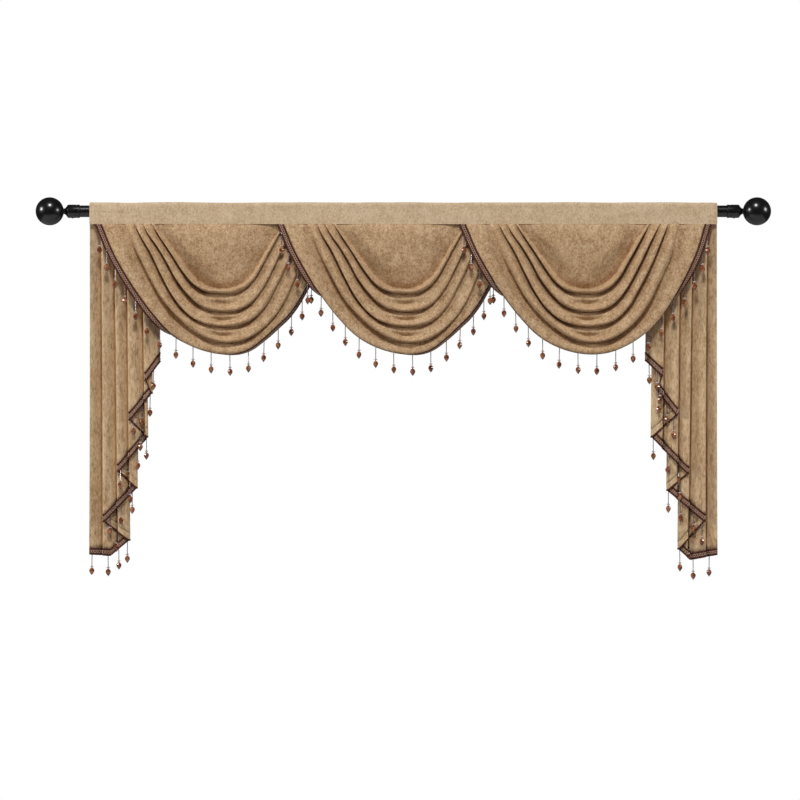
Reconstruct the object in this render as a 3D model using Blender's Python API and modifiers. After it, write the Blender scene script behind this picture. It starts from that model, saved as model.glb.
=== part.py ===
"""A swag valance on its curtain rod.

A rod-pocket heading carries three overlapping swags and a pleated cascade tail at each end. Braid
with hanging bead drops edges every cloth. The rod has ball finials and two round wall brackets.

The origin lies on the wall, midway between the brackets, at the height of the rod's axis. The wall is
the plane Y = 0 and the valance hangs in front of it, towards -Y. The values below are in millimetres,
and the model is built in metres.
"""

import math

import bmesh
import bpy
import numpy as np
from mathutils import Matrix, Vector

MM = 0.001
GAP = 0.3  # between pieces that touch

# Rod, finials and brackets
ROD_Y = -90.0
ROD_R = 14.0
ROD_WALL = 1.2
ROD_HALF = 775.0
ROD_SIDES = 24
COLLAR_R = 16.0
COLLAR_LONG = 28.0
COLLAR_EDGE = 0.8
NECK_R = 7.0
CHAMFER_LONG = 8.0
BALL_R = 33.6
BALL_X = 847.0
BALL_STEPS = 10
PLUG_LONG = 15.0
PLUG_EDGE = 1.0
TURNED_STEPS = 20
BRACKET_X = 727.0
PLATE_R = 30.0
PLATE_THICK = 5.0
PLATE_EDGE = 1.5
PLATE_SIDES = 28
PLATE_Z = -28.0
ARM_R = 6.0
ARM_END_Y = -84.0
ARM_BEND_R = 10.0
ARM_INTO_CRADLE = 1.2
CRADLE_THICK = 3.5
CRADLE_WIDE = 20.0
CRADLE_FROM, CRADLE_TO = -135.0, 20.0  # degrees about the rod, 0 towards the wall
CRADLE_STEPS = 9

# Heading: a flat front, a pocket round the rod, and a sewn foot that the cloths hang from
HEADING_HALF = 750.0
CLOTH = 2.0
FRONT_Y = -109.0
FOOT_Z = -31.5
FOOT_TALL = 9.0
FOOT_BACK_Y = -92.0
TOP_Z = 20.5
TOP_BACK = 6.0  # how far in front of the rod's axis the flat top turns down to the back
TOP_R = 7.0  # the rounded edge along the top of the front
POCKET_STEPS = 10
BACK_FROM, BACK_TO = 80.0, -55.0  # degrees about the rod, 0 towards the wall
NOTCH_HALF = 700.0  # the pocket's back is open beyond this, round the brackets
NOTCH_TOP = 8.0
NOTCH_CLEAR = 0.5  # from the front and the foot to the notch
NOTCH_PAST = 40.0

# Swags
SWAG_X = -729.8  # the first swag's left corner
SWAG_PITCH = 434.9
SWAG_WIDE = 590.0
SWAG_CLOTH = 1.6
HANG_Z = FOOT_Z - 0.6  # the top edge of every hanging cloth
SWAG_COLUMNS = 20
LINE_STEPS = 240
SETTLE = 85.0  # how far below the heading the cloth comes to hang free
FOLDS_SETTLE = 24.0  # the folds reach most of their depth within a few times this far

# The lines of a swag, as points (across, down) from its left corner: the top of its hollow, and
# then the foot of the hollow, the four crests below that, and the hem. Between two crests lies a
# trough, close below the upper one.
TOP_LINE = ((200.0, 0.0), (292.0, 0.0), (385.0, 0.0))
SWAG_LINES = (
    (
        (150, 0), (178, 34), (205, 66), (226, 90), (251, 118), (270, 133), (292, 140),
        (325, 134), (352, 113), (376, 80), (400, 40), (428, 0),
    ),
    (
        (132, 0), (154, 34), (177, 68), (203, 107), (230, 140), (256, 155), (293, 160),
        (325, 158), (348, 148), (370, 128), (394, 88), (422, 39), (445, 0),
    ),
    (
        (110, 0), (124, 24), (146, 54), (169, 91), (188, 126), (212, 158), (242, 187), (268, 200),
        (300, 205), (328, 202), (357, 189), (391, 151), (417, 103), (445, 46), (470, 0),
    ),
    (
        (91, 0), (103, 24), (125, 59), (157, 124), (180, 167), (204, 200), (233, 224), (266, 236),
        (297, 240), (325, 238), (358, 228), (391, 199), (420, 150), (447, 98), (471, 42), (490, 0),
    ),
    (
        (72, 0), (85, 28), (99, 60), (127, 118), (156, 172), (188, 211), (228, 246), (264, 268),
        (301, 279), (348, 273), (388, 250), (424, 212), (446, 176), (470, 122), (492, 70), (512, 0),
    ),
    (
        (9, 0), (37, 66), (72, 128), (106, 179), (146, 229), (180, 263), (210, 283), (254, 301),
        (308, 309.5), (351, 305), (398, 286), (434, 262), (463, 235), (495, 190), (531, 127),
        (557, 73), (580.5, 0),
    ),
)
# The hem's right half on a swag that the next one covers, from after its lowest point
HEM_LOWEST = 8
HEM_COVERED = (
    (335, 307), (358, 299), (395, 272), (430, 239), (452, 217), (466, 199), (500, 142),
    (535, 88), (560, 43), (580.5, 0),
)
# The section of each kind of stretch, as (share of the way down to the next line, forward at the
# sides, forward at the lowest point), from a trough at -1 to a crest at 1
HOLLOW = ((0.0, 0.0, 0.0), (0.5, -0.4, -0.4))
LIP = ((0.0, -1.3, -1.3), (0.35, -1.7, -1.7), (0.7, -0.3, -0.3))
FOLD = (
    (0.0, 1.0, 1.0),
    (0.09, -0.1, -0.1),
    (0.16, -1.0, -0.95),
    (0.42, 0.05, 0.05),
    (0.68, 0.6, -0.38),
    (0.88, 0.88, 0.45),
)
HEM_FOLD = (
    (0.0, 1.0, 1.0),
    (0.08, -0.1, -0.1),
    (0.15, -1.1, -1.0),
    (0.42, -0.25, -0.25),
    (0.75, 0.28, 0.25),
)
HEM_FORWARD = 0.1
LOW_X, LOW_WIDE = 300.0, 36.0  # where the lowest point's sections are used, and how far beside it

# The cloth's place in depth across a swag, as shares of its width: where its troughs lie at the
# heading and where they hang free, and half the depth of its folds there. A covered end lies behind
# the next swag, and an open end in front.
ACROSS = (0.0, 0.12, 0.3, 0.5, 0.62, 0.72, 0.8, 1.0)
SEWN_COVERED = (-106.6, -106.6, -106.6, -106.6, -105.6, -100.8, -97.6, -97.0)
HUNG_COVERED = (-109.5, -110.0, -109.0, -105.5, -103.5, -98.8, -97.0, -97.5)
DEEP_COVERED = (1.5, 8.0, 11.2, 12.1, 8.5, 5.0, 4.0, 1.5)
SEWN_OPEN = (-106.6,) * 8
HUNG_OPEN = (-109.5, -110.0, -109.0, -105.5, -107.5, -112.0, -113.5, -109.5)
DEEP_OPEN = (1.5, 8.0, 11.2, 12.1, 11.5, 10.5, 9.0, 1.5)
SEWN_DEEP = 1.2

# Tails: one row for each station along a tail's top edge, from the outer edge inwards: its place
# across at the heading and at the hem, the hem's drop below the heading, and the layer that the
# panel after it lies in, counted from the wall. Where the layer changes, the cloth folds over.
TAIL_EDGE_X = 753.0
TAIL_CLOTH = 1.3
TAIL_LEFT = (
    # across_top, across_hem, drop, layer
    (3.0, 0.0, 789.0, 0),
    (51.0, 50.0, 793.0, 0),
    (90.0, 96.0, 757.0, 1),
    (32.0, 34.0, 712.0, 2),
    (112.0, 116.0, 631.0, 3),
    (63.0, 69.0, 592.0, 4),
    (136.0, 142.0, 509.0, 5),
    (93.0, 97.0, 468.0, 6),
    (150.0, 153.0, 404.0, 7),
    (130.0, 135.0, 375.0, 8),
    (166.0, 170.0, 328.0, 8),
)
TAIL_RIGHT = (
    (3.0, 0.0, 790.0, 0),
    (60.0, 64.0, 803.0, 0),
    (88.0, 94.0, 778.0, 1),
    (28.0, 30.0, 711.0, 2),
    (118.0, 122.0, 637.0, 3),
    (62.0, 70.0, 597.0, 4),
    (154.0, 160.0, 509.0, 5),
    (92.0, 97.0, 457.0, 6),
    (144.0, 148.0, 397.0, 7),
    (129.0, 133.0, 363.0, 8),
    (168.0, 173.0, 325.0, 8),
)
TAIL_BACK_Y = -100.0
LAYER_TOP = 1.65  # from one layer to the next, at the heading
LAYER_SPREAD = 0.0053  # and how much wider for each millimetre below it
LAYERS = 8
LEAN_IN = 0.078  # the stack slants back towards its inner edge
TAIL_DRIFT = 20.0 / 800.0**2  # the whole tail swings forward with the square of its drop
FOLD_R = 3.0
TAIL_ROWS = 7
TAIL_GAP = 1.2  # down from the cloth to its slanting braid
SLANT_MOST = 1.6  # how many times its width the slanting braid may stand tall
# Soft unevenness shared by every layer: its height, its length across and down, and the drop at
# which it is full
RIPPLE, RIPPLE_ACROSS, RIPPLE_DOWN, RIPPLE_FULL = 1.6, 41.0, 260.0, 200.0

# Trim: braid with bead drops
BRAID_WIDE = 14.0
BRAID_THICK = 1.8
# How far the braid turns under along each swag's hem, as (share across, degrees)
TURNS = {
    "left": ((0, 0), (0.23, 0), (0.3, 78), (0.36, 85), (0.5, 85), (0.62, 72), (0.75, 62), (1, 62)),
    "middle": ((0, 0), (0.11, 0), (0.17, 85), (0.5, 85), (0.62, 72), (0.75, 62), (1, 62)),
    "right": ((0, 0), (0.11, 0), (0.17, 85), (0.5, 85), (0.84, 85), (0.94, 0), (1, 0)),
}
# Where the braid's inner edge lies below and behind the cloth's edge, at each turn
TURN_STATIONS = (0, 30, 60, 75, 85)
GAP_BELOW = (0.4, 0.9, 1.2, 0.6, -1.2)
GAP_BEHIND = (0.0, 0.3, 1.3, 1.9, 2.1)
STRING_R = 0.8
ROOT_IN = 2.0  # how far up the braid each string is rooted
# Each drop's points below the braid's edge, and their radii
DROP = ((-32.5, 0.8), (-39.0, 5.5), (-49.5, 0.6))
SWAG_DROPS = 20
TAIL_DROPS = (3, 1, 1, 3, 1, 4, 1, 3, 0, 1)  # on each stretch between stations
BEAD_FRONT_Y = -117.0  # beads over another cloth hang at least this far forward
BEAD_CLEAR = 6.9  # from a bead's middle to the middle of the cloth behind it
OVER_CLOTH = 0.28  # the share of a swag's width that lies over its neighbour

# Colours, as seen on the cloth, the braid and the metal
CLOTH_COLOUR = (0.44, 0.28, 0.15)
BRAID_COLOUR = (0.14, 0.06, 0.04)
BLACK_COLOUR = (0.006, 0.006, 0.007)


def material(name, colour, roughness, metallic=0.0):
    made = bpy.data.materials.new(name)
    made.use_nodes = True
    shader = made.node_tree.nodes["Principled BSDF"]
    shader.inputs["Base Color"].default_value = (*colour, 1)
    shader.inputs["Roughness"].default_value = roughness
    shader.inputs["Metallic"].default_value = metallic
    return made


def add_object(name, mesh, collection, finish):
    obj = bpy.data.objects.new(name, mesh)
    collection.objects.link(obj)
    if finish:
        obj.data.materials.append(finish)
    return obj


def hide_helper(obj):
    obj.hide_render = True
    obj.display_type = "WIRE"


def solidify(obj, thickness, offset=0.0, even=True):
    shell = obj.modifiers.new("Thickness", "SOLIDIFY")
    shell.thickness = thickness * MM
    shell.offset = offset
    shell.use_even_offset = even


def boolean(obj, other, operation):
    change = obj.modifiers.new(operation.title(), "BOOLEAN")
    change.operation = operation
    change.solver = "EXACT"
    change.object = other


def mesh_from_curve(obj, collection):
    """The curve's shape as a welded mesh in a new object; the curve goes."""
    bpy.context.view_layer.update()
    graph = bpy.context.evaluated_depsgraph_get()
    mesh = bpy.data.meshes.new_from_object(obj.evaluated_get(graph))
    bm = bmesh.new()
    bm.from_mesh(mesh)
    bmesh.ops.remove_doubles(bm, verts=bm.verts, dist=0.00001)
    bmesh.ops.recalc_face_normals(bm, faces=bm.faces)
    bm.to_mesh(mesh)
    bm.free()
    name = obj.name
    matrix = obj.matrix_world.copy()
    bpy.data.objects.remove(obj)
    made = bpy.data.objects.new(name, mesh)
    made.matrix_world = matrix
    collection.objects.link(made)
    return made


def smooth_table(at, stations, values):
    """The values at places in a table of stations, on a smooth curve through them."""
    xs = np.array(stations, float)
    ys = np.array(values, float)
    slopes = np.gradient(ys, xs)
    k = np.clip(np.searchsorted(xs, at) - 1, 0, len(xs) - 2)
    wide = xs[k + 1] - xs[k]
    t = np.clip((at - xs[k]) / wide, 0, 1)
    blend = t * t * (3 - 2 * t)
    return (
        ys[k] * (1 - blend)
        + ys[k + 1] * blend
        + wide * t * (1 - t) * ((1 - t) * slopes[k] - t * slopes[k + 1])
    )


def ease(t):
    t = np.clip(t, 0, 1)
    return t * t * (3 - 2 * t)


def fold_line(points):
    """Points evenly along a smooth line, as (across, down)."""
    points = np.array(points, float)
    far = np.concatenate([[0], np.cumsum(np.hypot(*np.diff(points, axis=0).T))])
    fine = np.linspace(0, far[-1], LINE_STEPS + 1)
    curve = np.stack([smooth_table(fine, far, points[:, k]) for k in range(2)], axis=1)
    along = np.concatenate([[0], np.cumsum(np.hypot(*np.diff(curve, axis=0).T))])
    at = np.linspace(0, along[-1], SWAG_COLUMNS + 1)
    return np.stack([np.interp(at, along, curve[:, k]) for k in range(2)], axis=1)


def swag_lines(covered):
    """A swag's lines from the heading down, with its own hem where the next swag covers it."""
    lines = [TOP_LINE, *SWAG_LINES]
    if covered:
        lines[-1] = lines[-1][: HEM_LOWEST + 1] + HEM_COVERED
    return [fold_line(points) for points in lines]


def swag_rows(covered):
    """Every row of a swag's grid, as (points, forward at the sides, forward at the lowest point)."""
    lines = swag_lines(covered)
    rows = []
    for start, end, table in zip(lines, lines[1:], (HOLLOW, LIP, FOLD, FOLD, FOLD, HEM_FOLD)):
        for share, beside, low in table:
            rows.append((start + (end - start) * share, beside, low))
    rows.append((lines[-1], HEM_FORWARD, HEM_FORWARD))
    return rows


def swag_points(covered):
    """The swag's sheet, as points[row][column] of (across, y, down)."""
    points = []
    for flat, beside, low in swag_rows(covered):
        across, down = flat[:, 0], flat[:, 1]
        forward = beside + (low - beside) * np.exp(-(((across - LOW_X) / LOW_WIDE) ** 2))
        share = across / SWAG_WIDE
        sewn, hung, deep = (
            np.interp(share, ACROSS, table)
            for table in (
                SEWN_COVERED if covered else SEWN_OPEN,
                HUNG_COVERED if covered else HUNG_OPEN,
                DEEP_COVERED if covered else DEEP_OPEN,
            )
        )
        folded = SEWN_DEEP + (deep - SEWN_DEEP) * (1 - np.exp(-down / FOLDS_SETTLE))
        settled = ease(down / SETTLE)
        # Behind the troughs lies only the pocket's foot, which deepens with the distance down
        forward = np.maximum(forward, -1) + np.minimum(forward + 1, 0) * settled
        y = sewn + (hung - sewn) * settled - folded * (1 + forward)
        points.append(np.stack([across, y, down], axis=1))
    return points


def swag_braid(hem, side):
    """The braid's inner and outer line along a swag's hem: it lies flat beside the cloth at the
    sides, and turns under at the foot."""
    tangent = np.gradient(hem[:, [0, 2]], axis=0)
    tangent /= np.linalg.norm(tangent, axis=1)[:, None]
    out = np.stack([-tangent[:, 1], tangent[:, 0]], axis=1)
    out[0] = (-1 / abs(out[0, 0]), 0)
    out[-1] = (1 / abs(out[-1, 0]), 0)
    degrees = np.interp(hem[:, 0] / SWAG_WIDE, *zip(*TURNS[side]))
    turn = np.radians(degrees)
    below = np.interp(degrees, TURN_STATIONS, GAP_BELOW)
    behind = np.interp(degrees, TURN_STATIONS, GAP_BEHIND)
    flat = below + BRAID_WIDE * np.cos(turn)
    back = behind + BRAID_WIDE * np.sin(turn)
    inner, outer = hem.copy(), hem.copy()
    for line, across, deep in ((inner, below, behind), (outer, flat, back)):
        line[:, 0] += out[:, 0] * across
        line[:, 2] += out[:, 1] * across
        line[:, 1] += deep
    return inner, outer


def grid_object(name, points, thickness, collection, finish, even=True):
    """A cloth: a grid laid on points[row][column] and thickened."""
    rows, columns = len(points) - 1, len(points[0]) - 1
    bm = bmesh.new()
    bmesh.ops.create_grid(bm, x_segments=columns, y_segments=rows, size=0.5)
    for vert in bm.verts:
        column = round((vert.co.x + 0.5) * columns)
        row = round((vert.co.y + 0.5) * rows)
        vert.co = Vector(points[row][column]) * MM
    mesh = bpy.data.meshes.new(name)
    bm.to_mesh(mesh)
    bm.free()
    obj = add_object(name, mesh, collection, finish)
    mesh.shade_smooth()
    solidify(obj, thickness, even=even)
    return obj


def drops_object(name, roots, helpers):
    """The bead drops of one trim: roots holds each one's (x, y, z, bead_y)."""
    curve = bpy.data.curves.new(name, "CURVE")
    curve.dimensions = "3D"
    curve.bevel_depth = MM
    curve.bevel_resolution = 0
    curve.use_fill_caps = True
    for x, y, z, bead_y in roots:
        spline = curve.splines.new("POLY")
        spline.points.add(len(DROP))
        spline.points[0].co = (x * MM, y * MM, (z + ROOT_IN) * MM, 1)
        spline.points[0].radius = STRING_R
        for point, (below, radius) in zip(list(spline.points)[1:], DROP):
            lean = y + (bead_y - y) * min(1, below / DROP[0][0])
            point.co = (x * MM, lean * MM, (z + below) * MM, 1)
            point.radius = radius
    obj = bpy.data.objects.new(name, curve)
    helpers.objects.link(obj)
    made = mesh_from_curve(obj, helpers)
    hide_helper(made)
    return made


def trim_object(name, lines, roots, parts, helpers, finish, even=True):
    """A braid between its outer and inner line, with its drops fused to it."""
    obj = grid_object(name, lines, BRAID_THICK, parts, finish, even)
    boolean(obj, drops_object(name + "_drops", roots, helpers), "UNION")
    return obj


def along_line(line, count):
    """count places spread evenly along a line of points."""
    far = np.concatenate(
        [[0], np.cumsum(np.linalg.norm(np.diff(line, axis=0), axis=1))]
    )
    at = far[-1] * (np.arange(count) + 0.5) / count
    return np.stack([np.interp(at, far, line[:, k]) for k in range(3)], axis=1)


def make_swag(side, left_x, covered, parts, helpers, finish, braid_finish):
    points = swag_points(covered)
    inner, outer = swag_braid(points[-1], side)
    roots = []
    root_line = outer + (inner - outer) * ROOT_IN / BRAID_WIDE
    for across, y, down in along_line(root_line, SWAG_DROPS):
        share = across / SWAG_WIDE
        over = share < OVER_CLOTH or (share > 1 - OVER_CLOTH and not covered)
        bead_y = min(y, BEAD_FRONT_Y) if over else y
        roots.append((left_x + across, y, HANG_Z - down - ROOT_IN, bead_y))

    def placed(lines):
        return [[(left_x + a, y, HANG_Z - d) for a, y, d in line] for line in lines]

    grid_object("swag_" + side, placed(points[::-1]), SWAG_CLOTH, parts, finish)
    lines = placed([outer, inner])
    trim_object("trim_swag_" + side, lines, roots, parts, helpers, braid_finish)


def tail_depth(across, down, layer):
    """Where a layer of a tail lies in depth."""
    spread = LAYER_SPREAD * down
    wave = math.sin(across / RIPPLE_ACROSS + down / RIPPLE_DOWN)
    ripple = RIPPLE * wave * min(1, down / RIPPLE_FULL)
    return (
        TAIL_BACK_Y
        + LEAN_IN * across
        + LAYERS * spread
        - TAIL_DRIFT * down**2
        - layer * (LAYER_TOP + spread)
        + ripple
    )


def braid_heights(table):
    """How tall the slanting braid stands at each station of a tail's hem."""
    steps = [
        math.hypot(end[1] - start[1], end[2] - start[2]) / abs(end[1] - start[1])
        for start, end in zip(table, table[1:])
    ]
    slants = [min(SLANT_MOST, step) for step in steps]
    pairs = zip([slants[0], *slants], [*slants, slants[-1]])
    return [BRAID_WIDE * (before + after) / 2 for before, after in pairs]


def tail_columns(table):
    """The tail's columns, as (across_top, across_hem, drop, layer, braid_tall), each fold with a
    point at its turn and one on either side of it, all three equally low."""
    columns = []
    heights = braid_heights(table)
    for k in range(len(table) - 1):
        start, end = table[k], table[k + 1]
        turn = FOLD_R / abs(end[1] - start[1])
        folds_before = k > 0 and table[k - 1][3] != start[3]
        folds_after = k + 2 < len(table) and start[3] != end[3]
        first = turn if folds_before else 0.0
        last = 1 - turn if folds_after else 1.0
        shares = [first, (first + last) / 2, last]
        if k > 0 and not folds_before:
            shares = shares[1:]
        for share in shares:
            level = (share - first) / (last - first)
            places = [start[n] + (end[n] - start[n]) * share for n in range(2)]
            drop = start[2] + (end[2] - start[2]) * level
            tall = heights[k] + (heights[k + 1] - heights[k]) * level
            columns.append([*places, drop, start[3], tall])
        if folds_after:
            columns.append([*end[:3], start[3] + 0.5, heights[k + 1]])
    return columns


def tail_point(column, down, sign):
    top, hem, drop, layer = column[:4]
    across = top + (hem - top) * down / drop
    return (
        sign * (TAIL_EDGE_X - across),
        tail_depth(across, down, layer),
        HANG_Z - down,
    )


def tail_roots(table, sign):
    """Where a tail's drops leave its braid, and how far forward each bead hangs."""
    roots = []
    for k, count in enumerate(TAIL_DROPS):
        start, end = table[k], table[k + 1]
        for n in range(count):
            share = (n + 0.5) / count
            column = [start[m] + (end[m] - start[m]) * share for m in range(3)]
            column.append(start[3])
            x, y, z = tail_point(column, column[2] - ROOT_IN, sign)
            bead = column[2] - DROP[1][0]
            across = column[1]
            bead_y = tail_depth(across, bead, start[3])
            if start[3] > 0:
                pitch = LAYER_TOP + LAYER_SPREAD * bead
                bead_y -= max(0.0, BEAD_CLEAR - pitch)
            roots.append((x, y, z - ROOT_IN, bead_y))
    return roots


def make_tail(side, table, sign, parts, helpers, finish, braid_finish):
    columns = tail_columns(table)
    cloth = []
    for row in range(TAIL_ROWS + 1):
        share = row / TAIL_ROWS
        cloth.append(
            [
                tail_point(column, share * (column[2] - column[4] - TAIL_GAP), sign)
                for column in columns
            ]
        )
    inner = [tail_point(column, column[2] - column[4], sign) for column in columns]
    outer = [tail_point(column, column[2], sign) for column in columns]
    grid_object("tail_" + side, cloth[::-1], TAIL_CLOTH, parts, finish, even=False)
    roots = tail_roots(table, sign)
    lines = [outer, inner]
    trim_object("trim_tail_" + side, lines, roots, parts, helpers, braid_finish, even=False)


def arc(centre, radius, start, end, count):
    """Points on an arc, angles in degrees."""
    return [
        (
            centre[0] + radius * math.cos(math.radians(a)),
            centre[1] + radius * math.sin(math.radians(a)),
        )
        for a in np.linspace(start, end, count)
    ]


def heading_outline():
    """The heading's section about the rod's axis: outside, and the pocket inside it."""
    front = FRONT_Y - ROD_Y
    foot_back = FOOT_BACK_Y - ROD_Y
    foot_top = FOOT_Z + FOOT_TALL
    pocket = ROD_R + GAP
    inner_r = TOP_R - CLOTH
    corner = (front + TOP_R, TOP_Z - TOP_R)
    outside = [(front, FOOT_Z)]
    outside += arc(corner, TOP_R, 180, 90, 5)
    outside += [(-TOP_BACK, TOP_Z)]
    outside += arc((0, 0), pocket + CLOTH, BACK_FROM, BACK_TO, POCKET_STEPS)
    outside += [(foot_back, foot_top), (foot_back, FOOT_Z)]
    inside = [(front + CLOTH, foot_top)]
    inside += arc(corner, inner_r, 180, 90, 4)
    inside += [(-TOP_BACK, TOP_Z - CLOTH)]
    inside += arc((0, 0), pocket, BACK_FROM, BACK_TO, POCKET_STEPS)
    inside += [(foot_back - CLOTH, foot_top)]
    return outside, inside


def make_heading(parts, helpers, finish):
    curve = bpy.data.curves.new("heading", "CURVE")
    curve.dimensions = "2D"
    curve.fill_mode = "BOTH"
    curve.extrude = HEADING_HALF * MM
    for outline in heading_outline():
        spline = curve.splines.new("POLY")
        spline.points.add(len(outline) - 1)
        for point, (y, z) in zip(spline.points, outline):
            point.co = (y * MM, z * MM, 0, 1)
        spline.use_cyclic_u = True
    flat = bpy.data.objects.new("heading", curve)
    flat.location = (0, ROD_Y * MM, 0)
    flat.rotation_euler = (math.pi / 2, 0, math.pi / 2)
    helpers.objects.link(flat)
    heading = mesh_from_curve(flat, parts)
    heading.data.materials.append(finish)
    for sign in (-1, 1):
        low = (sign * NOTCH_HALF, FRONT_Y + CLOTH + NOTCH_CLEAR, FOOT_Z + FOOT_TALL + NOTCH_CLEAR)
        high = (sign * (HEADING_HALF + NOTCH_PAST), ROD_Y + NOTCH_PAST, NOTCH_TOP)
        boolean(heading, box("notch", low, high, helpers), "DIFFERENCE")
    heading.data.set_sharp_from_angle(angle=math.radians(35))
    return heading


def box(name, corner, opposite, collection):
    """A hidden box between two corners, for cutting."""
    low = Vector(map(min, corner, opposite)) * MM
    high = Vector(map(max, corner, opposite)) * MM
    size = Matrix.Diagonal((*(high - low), 1))
    bm = bmesh.new()
    bmesh.ops.create_cube(bm, size=1, matrix=Matrix.Translation((low + high) / 2) @ size)
    mesh = bpy.data.meshes.new(name)
    bm.to_mesh(mesh)
    bm.free()
    obj = add_object(name, mesh, collection, None)
    hide_helper(obj)
    return obj


def make_rod(parts, finish):
    bm = bmesh.new()
    bmesh.ops.create_cone(
        bm,
        segments=ROD_SIDES,
        radius1=ROD_R * MM,
        radius2=ROD_R * MM,
        depth=2 * ROD_HALF * MM,
        cap_ends=False,
    )
    mesh = bpy.data.meshes.new("rod")
    bm.to_mesh(mesh)
    bm.free()
    rod = add_object("rod", mesh, parts, finish)
    rod.rotation_euler = (0, math.pi / 2, 0)
    rod.location = (0, ROD_Y * MM, 0)
    mesh.shade_smooth()
    solidify(rod, ROD_WALL, -1.0)


def finial_profile():
    """Half the finial's section as (radius, distance from the ball's middle), from the ball's
    tip down to the plug's end."""
    collar_start = ROD_HALF + GAP - BALL_X
    collar_end = collar_start + COLLAR_LONG
    neck = collar_end + CHAMFER_LONG
    neck_angle = math.degrees(math.asin(NECK_R / BALL_R))
    ball = arc((0, 0), BALL_R, 90, neck_angle - 90, BALL_STEPS)
    plug_r = ROD_R - ROD_WALL - GAP
    plug_end = collar_start - PLUG_LONG
    return [
        (0, BALL_R),
        *ball[1:],
        (NECK_R, neck),
        (COLLAR_R - COLLAR_EDGE, collar_end),
        (COLLAR_R, collar_end - COLLAR_EDGE),
        (COLLAR_R, collar_start),
        (plug_r, collar_start),
        (plug_r, plug_end + PLUG_EDGE),
        (plug_r - PLUG_EDGE, plug_end),
        (0, plug_end),
    ]


def make_finial(side, sign, parts, finish):
    profile = finial_profile()
    mesh = bpy.data.meshes.new("finial_" + side)
    edges = [(k, k + 1) for k in range(len(profile) - 1)]
    mesh.from_pydata([(r * MM, 0, z * MM) for r, z in profile], edges, [])
    finial = add_object("finial_" + side, mesh, parts, finish)
    turn = finial.modifiers.new("Turn", "SCREW")
    turn.steps = turn.render_steps = TURNED_STEPS
    turn.use_merge_vertices = True
    turn.merge_threshold = 0.00001
    turn.use_smooth_shade = True
    finial.rotation_euler = (0, sign * math.pi / 2, 0)
    finial.location = (sign * BALL_X * MM, ROD_Y * MM, 0)


def make_arm(x, collection):
    """The bent bar from the wall plate to the cradle."""
    bend = (ARM_END_Y + ARM_BEND_R, PLATE_Z + ARM_BEND_R)
    path = [(-PLATE_THICK / 2, PLATE_Z)]
    path += arc(bend, ARM_BEND_R, -90, -180, 5)
    path += [(ARM_END_Y, ARM_INTO_CRADLE - ROD_R - GAP - CRADLE_THICK)]
    curve = bpy.data.curves.new("arm", "CURVE")
    curve.dimensions = "3D"
    curve.bevel_depth = ARM_R * MM
    curve.bevel_resolution = 2
    curve.use_fill_caps = True
    spline = curve.splines.new("POLY")
    spline.points.add(len(path) - 1)
    for point, (y, z) in zip(spline.points, path):
        point.co = (x * MM, y * MM, z * MM, 1)
    obj = bpy.data.objects.new("arm", curve)
    collection.objects.link(obj)
    arm = mesh_from_curve(obj, collection)
    hide_helper(arm)
    return arm


def make_cradle(x, collection):
    """The curved plate that the rod lies in: an edge turned part of the way round the rod."""
    radius = ROD_R + GAP + CRADLE_THICK / 2
    start = math.radians(CRADLE_FROM)
    turn = math.radians(CRADLE_TO - CRADLE_FROM)
    bm = bmesh.new()
    ends = [
        bm.verts.new(
            Vector(
                (
                    x + side * CRADLE_WIDE / 2,
                    ROD_Y + radius * math.cos(start),
                    radius * math.sin(start),
                )
            )
            * MM
        )
        for side in (-1, 1)
    ]
    edge = bm.edges.new(ends)
    bmesh.ops.spin(
        bm,
        geom=[edge],
        axis=(1, 0, 0),
        cent=Vector((x, ROD_Y, 0)) * MM,
        angle=turn,
        steps=CRADLE_STEPS,
    )
    mesh = bpy.data.meshes.new("cradle")
    bm.to_mesh(mesh)
    bm.free()
    cradle = add_object("cradle", mesh, collection, None)
    solidify(cradle, CRADLE_THICK)
    hide_helper(cradle)
    return cradle


def make_bracket(side, sign, parts, helpers, finish):
    x = sign * BRACKET_X
    bm = bmesh.new()
    bmesh.ops.create_cone(
        bm,
        segments=PLATE_SIDES,
        radius1=PLATE_R * MM,
        radius2=(PLATE_R - PLATE_EDGE) * MM,
        depth=PLATE_THICK * MM,
        cap_ends=True,
    )
    mesh = bpy.data.meshes.new("bracket_" + side)
    bm.to_mesh(mesh)
    bm.free()
    bracket = add_object("bracket_" + side, mesh, parts, finish)
    bracket.rotation_euler = (math.pi / 2, 0, 0)
    bracket.location = (x * MM, -PLATE_THICK / 2 * MM, PLATE_Z * MM)
    boolean(bracket, make_arm(x, helpers), "UNION")
    boolean(bracket, make_cradle(x, helpers), "UNION")


def clear_scene():
    for obj in list(bpy.data.objects):
        bpy.data.objects.remove(obj)


def new_collection(name):
    made = bpy.data.collections.new(name)
    bpy.context.scene.collection.children.link(made)
    return made


def main():
    clear_scene()
    parts = new_collection("swag_valance")
    helpers = new_collection("cutters")
    cloth = material("chenille", CLOTH_COLOUR, 0.8)
    braid = material("braid", BRAID_COLOUR, 0.6)
    black = material("black_metal", BLACK_COLOUR, 0.2, 0.3)
    make_rod(parts, black)
    for side, sign in (("left", -1), ("right", 1)):
        make_finial(side, sign, parts, black)
        make_bracket(side, sign, parts, helpers, black)
    make_heading(parts, helpers, cloth)
    for n, side in enumerate(("left", "middle", "right")):
        left_x = SWAG_X + n * SWAG_PITCH
        make_swag(side, left_x, n < 2, parts, helpers, cloth, braid)
    make_tail("left", TAIL_LEFT, -1, parts, helpers, cloth, braid)
    make_tail("right", TAIL_RIGHT, 1, parts, helpers, cloth, braid)


main()
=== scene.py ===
"""Looks of the swag valance: its cloths, braid, bead drops and gloss black rod, laid on the frame.

Values are in millimetres from the origin on the wall at the height of the rod's axis, and every
mesh is made in metres. The valance hangs in front of the wall, towards -Y.
"""

import math

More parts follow.
